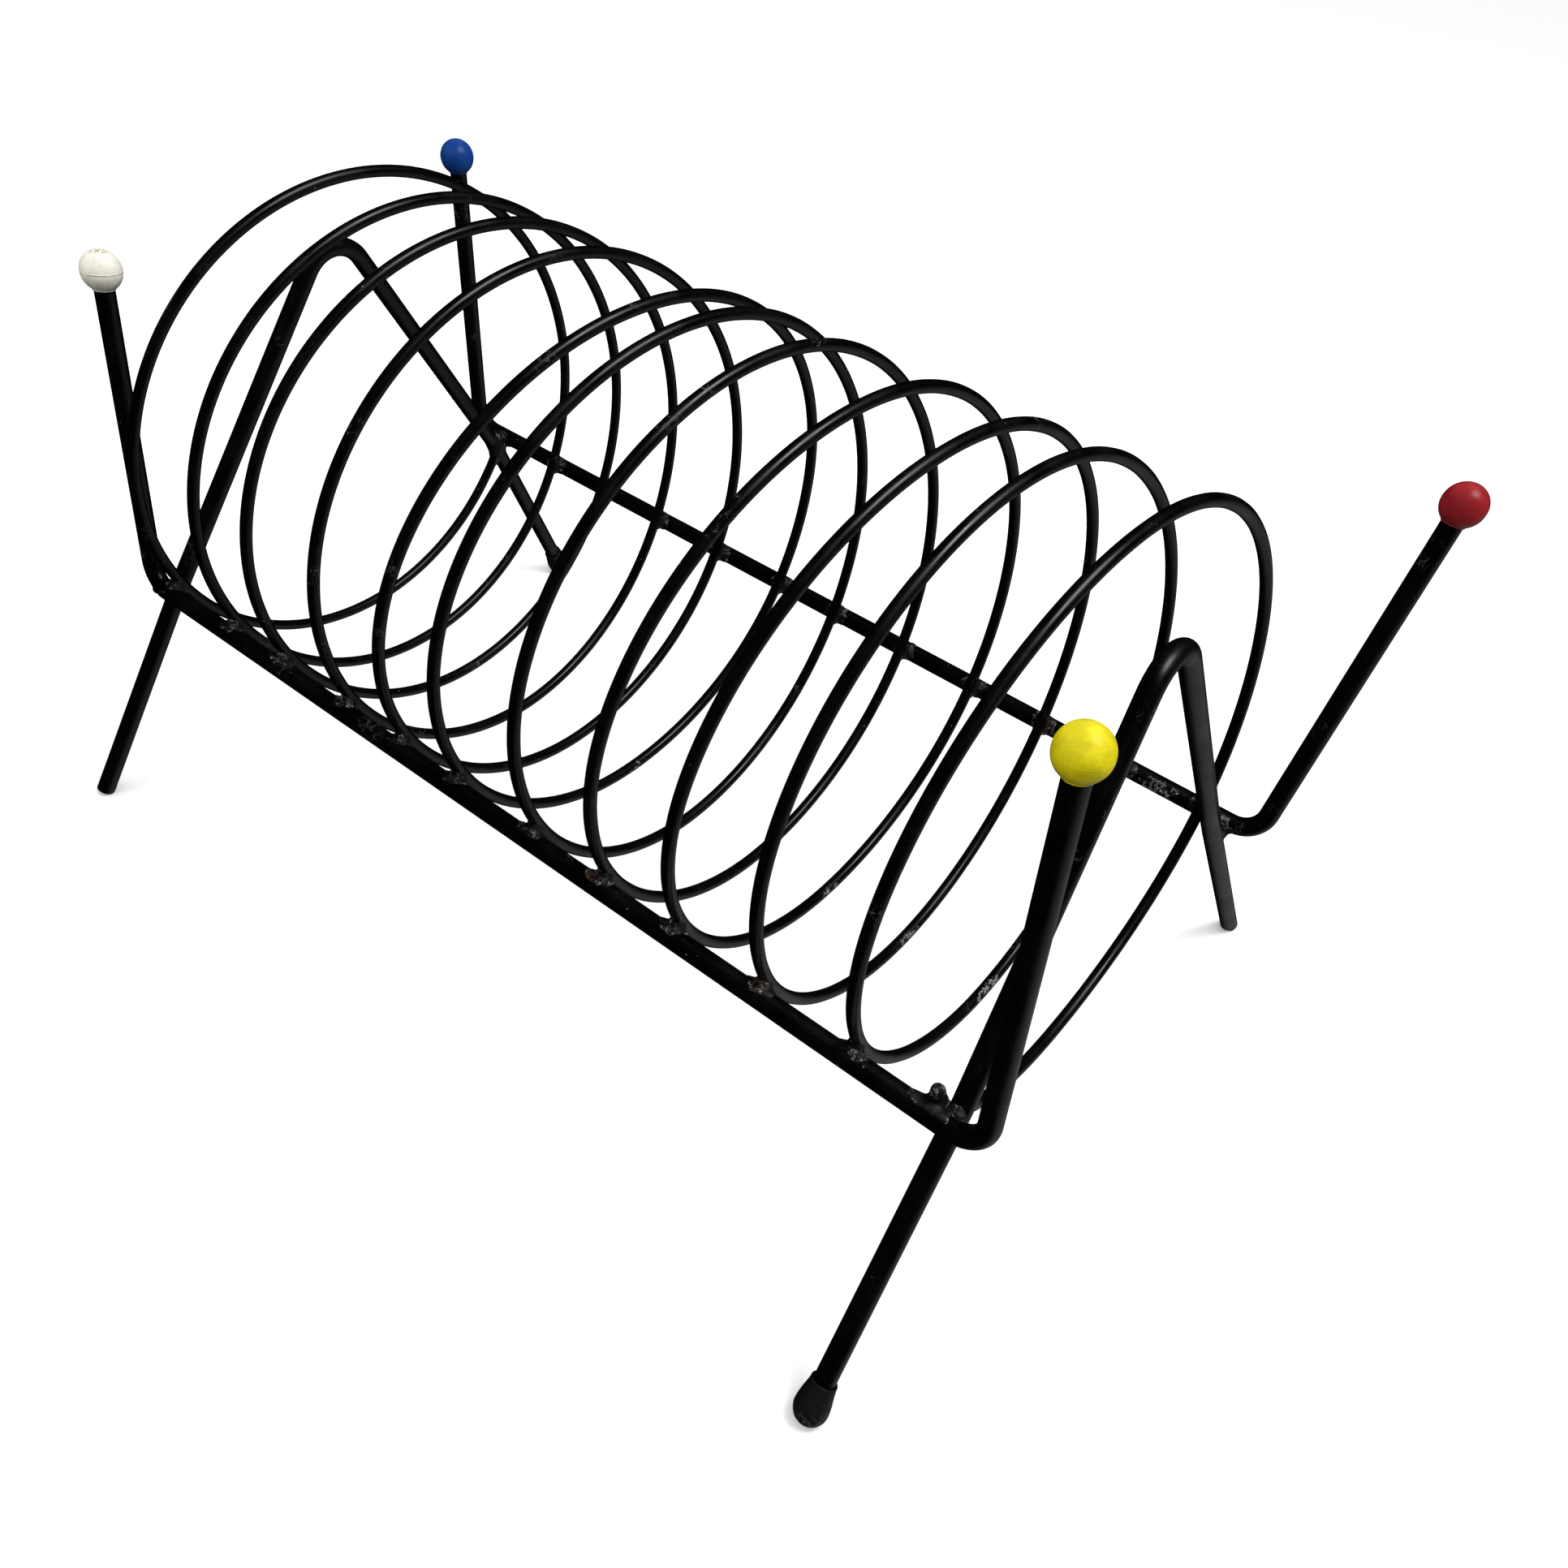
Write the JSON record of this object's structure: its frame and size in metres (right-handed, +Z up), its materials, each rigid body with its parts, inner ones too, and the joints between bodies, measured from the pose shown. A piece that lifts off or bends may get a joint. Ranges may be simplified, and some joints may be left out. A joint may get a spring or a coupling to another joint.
{
  "type": "wire rack",
  "caption": "Free-standing wire rack for toast, letters or records: a wire coil between two rails whose upturned arms end in coloured balls, on splayed legs with rubber feet.",
  "frame": {"origin": "on the floor, under the middle of the whole rack's bounding box", "axes": "+X along the coil and the rails, +Y to the rear rail, +Z up from the floor"},
  "size_m": [0.3745, 0.2489, 0.2029],
  "materials": {
    "black_enamel": "black enamel with a soft sheen, small specks and chips",
    "weld_enamel": "rough black enamel over a weld bead, with a little rust",
    "ball_white": "moulded off-white plastic, scuffed",
    "ball_yellow": "moulded yellow plastic, satin",
    "ball_blue": "moulded deep blue plastic, satin",
    "ball_red": "moulded red plastic, satin",
    "foot_rubber": "matt black rubber"
  },
  "bodies": {
    "root": {"coil": "black_enamel", "front_rail": "black_enamel", "white_ball": "ball_white", "yellow_ball": "ball_yellow", "rear_rail": "black_enamel", "blue_ball": "ball_blue", "red_ball": "ball_red", "left_legs": "black_enamel", "left_rear_foot": "foot_rubber", "right_legs": "black_enamel", "right_front_foot": "foot_rubber", "left_front_leg_weld": "weld_enamel", "left_rear_leg_weld": "weld_enamel", "right_front_leg_weld": "weld_enamel", "right_rear_leg_weld": "weld_enamel", "front_weld_01": "weld_enamel", "front_weld_02": "weld_enamel", "front_weld_03": "weld_enamel", "front_weld_04": "weld_enamel", "front_weld_05": "weld_enamel", "front_weld_06": "weld_enamel", "front_weld_07": "weld_enamel", "front_weld_08": "weld_enamel", "front_weld_09": "weld_enamel", "front_weld_10": "weld_enamel", "front_weld_11": "weld_enamel", "front_weld_12": "weld_enamel", "rear_weld_01": "weld_enamel", "rear_weld_02": "weld_enamel", "rear_weld_03": "weld_enamel", "rear_weld_04": "weld_enamel", "rear_weld_05": "weld_enamel", "rear_weld_06": "weld_enamel", "rear_weld_07": "weld_enamel", "rear_weld_08": "weld_enamel", "rear_weld_09": "weld_enamel", "rear_weld_10": "weld_enamel", "rear_weld_11": "weld_enamel", "rear_weld_12": "weld_enamel"}
  },
  "joints": []
}
